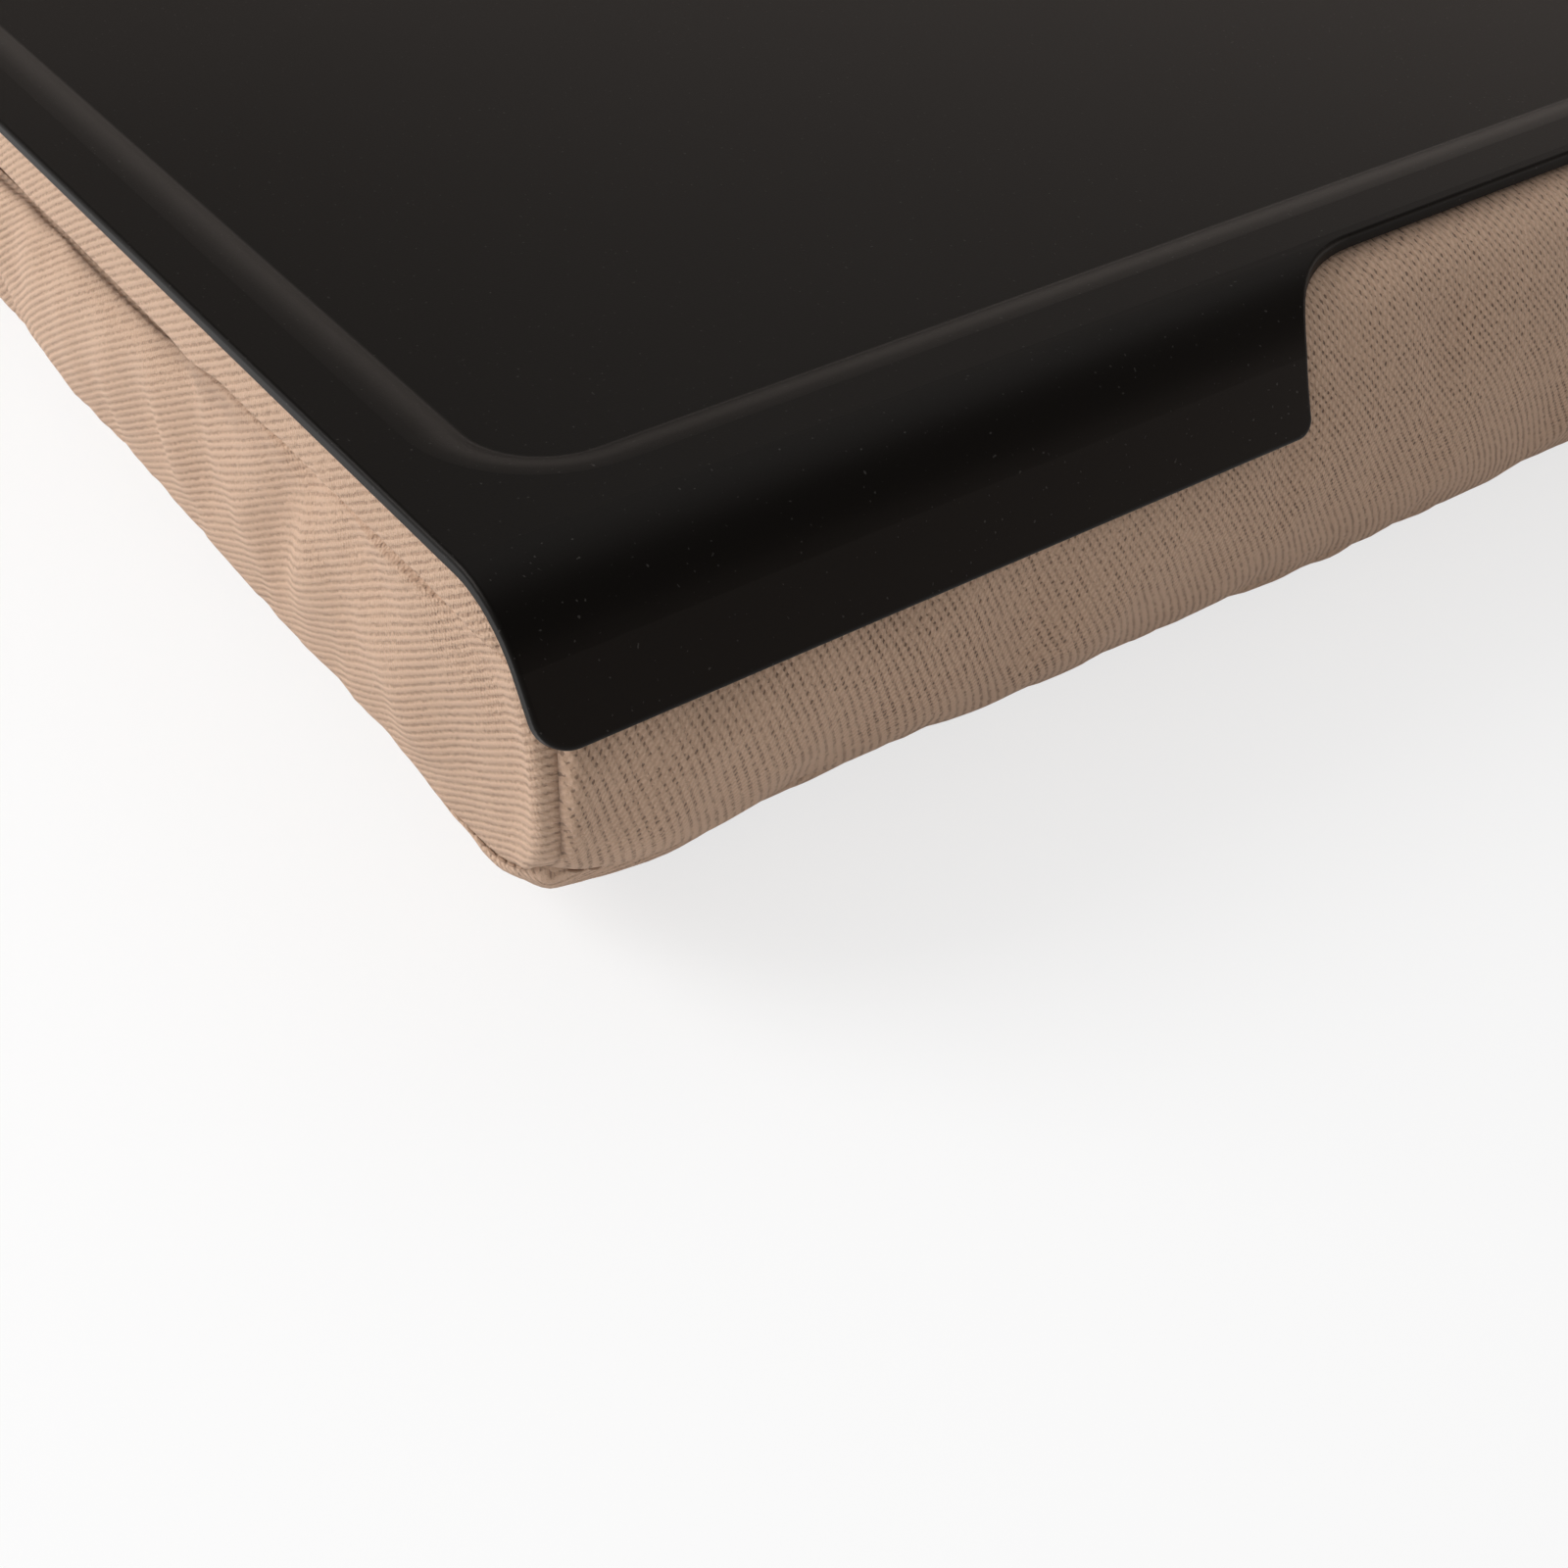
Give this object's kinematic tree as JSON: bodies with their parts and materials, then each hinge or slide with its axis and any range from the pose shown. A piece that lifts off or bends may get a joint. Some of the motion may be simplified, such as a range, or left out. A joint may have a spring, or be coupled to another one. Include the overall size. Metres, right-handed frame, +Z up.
{
  "type": "lap tray with cushion",
  "caption": "Lap tray with a raised rim and apron handles at both ends, held by hook and loop pads on a bead-filled cushion with a zipped cloth cover.",
  "frame": {"origin": "middle of the flat patch under the cushion that the part rests on", "axes": "+X along the tray's long side, +Y along its short side away from the zip, +Z up"},
  "size_m": [0.4596, 0.38, 0.0648],
  "materials": {
    "tray_plastic": "soft matte, fine grain",
    "cover_twill": "brushed cotton twill",
    "hook_tape": "hook tape",
    "loop_tape": "loop tape",
    "zip_tape": "woven tape",
    "zip_coil": "nylon coil",
    "zip_metal": "antique plated",
    "bag_cloth": "plain white cotton",
    "beads": "loose foam beads"
  },
  "bodies": {
    "cushion": {"loop_pad_1": "loop_tape", "loop_pad_2": "loop_tape", "loop_pad_3": "loop_tape", "loop_pad_4": "loop_tape", "cover_top_panel": "cover_twill", "cover_bottom_panel": "cover_twill", "cover_end_band_right": "cover_twill", "cover_end_band_left": "cover_twill", "cover_back_band": "cover_twill", "cover_front_band_upper": "cover_twill", "cover_front_band_lower": "cover_twill", "zip_tape_upper": "zip_tape", "zip_tape_lower": "zip_tape", "zip_coil_upper": "zip_coil", "zip_coil_lower": "zip_coil", "zip_top_stops": "zip_metal", "zip_bottom_stop": "zip_metal", "bag_upper_panel": "bag_cloth", "bag_lower_panel": "bag_cloth", "bead_filling": "beads"},
    "tray": {"tray": "tray_plastic", "hook_pad_1": "hook_tape", "hook_pad_2": "hook_tape", "hook_pad_3": "hook_tape", "hook_pad_4": "hook_tape"},
    "zip_slider": {"zip_slider": "zip_metal"},
    "zip_pull": {"zip_pull": "zip_metal"}
  },
  "joints": [
    {"name": "tray_lift", "type": "slide", "parent": "cushion", "child": "tray", "axis": [0, 0, 1], "range_m": [0, 0.08]},
    {"name": "zip_slide", "type": "slide", "parent": "cushion", "child": "zip_slider", "axis": [1, 0, 0], "range_m": [0, 0.2775]},
    {"name": "pull_swing", "type": "hinge", "parent": "zip_slider", "child": "zip_pull", "pos_m": [-0.1389, -0.1889, 0.0525], "axis": [0, 0, -1], "range_deg": [0, 160]}
  ]
}
